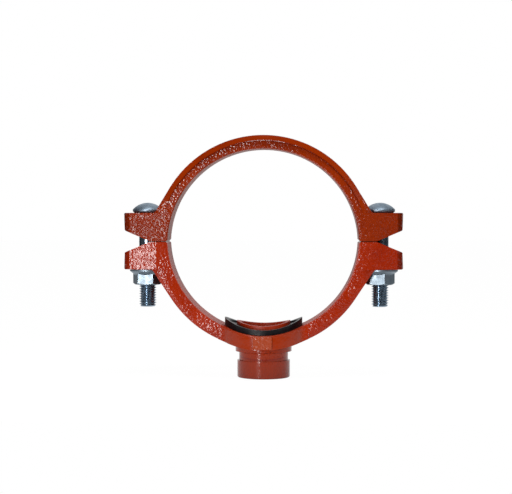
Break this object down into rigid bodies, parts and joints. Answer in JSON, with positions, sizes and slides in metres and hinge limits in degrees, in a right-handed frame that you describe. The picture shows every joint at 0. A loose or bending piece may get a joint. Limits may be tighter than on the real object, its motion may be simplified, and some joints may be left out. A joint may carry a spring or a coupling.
{
  "type": "mechanical tee",
  "caption": "Bolted cast mechanical tee: split ring for a run pipe with a saddle gasket and a grooved branch outlet.",
  "frame": {"origin": "where the run pipe's axis crosses the branch axis, on the joint plane between the halves", "axes": "+Y along the run pipe's axis away from the front, +Z from the branch to the plain half, +X to the right seen from the front"},
  "size_m": [0.2538, 0.0842, 0.221],
  "materials": {
    "upper_paint": "gloss paint on rough casting",
    "outlet_paint": "gloss paint on rough casting",
    "gasket_rubber": "satin",
    "bolt_zinc": "bright zinc plate",
    "nut_zinc": "bright zinc plate"
  },
  "bodies": {
    "outlet_half": {"outlet_housing": "outlet_paint", "branch_gasket": "gasket_rubber"},
    "upper_half": {"upper_housing": "upper_paint", "bolt_left": "bolt_zinc", "bolt_right": "bolt_zinc"},
    "left_nut": {"nut_left": "nut_zinc"},
    "right_nut": {"nut_right": "nut_zinc"}
  },
  "joints": [
    {"name": "half_lift", "type": "slide", "parent": "outlet_half", "child": "upper_half", "axis": [0, 0, 1], "range_m": [0, 0.01847]},
    {"name": "left_nut_turn", "type": "hinge", "parent": "outlet_half", "child": "left_nut", "pos_m": [-0.1065, 0, -0.0325], "axis": [0, 0, -1], "continuous": true},
    {"name": "right_nut_turn", "type": "hinge", "parent": "outlet_half", "child": "right_nut", "pos_m": [0.1065, 0, -0.0325], "axis": [0, 0, -1], "continuous": true}
  ],
  "couplings": [
    {"joint": "left_nut_turn", "follows": "half_lift", "rad_per_m": 2721.1},
    {"joint": "right_nut_turn", "follows": "half_lift", "rad_per_m": 2721.1}
  ]
}
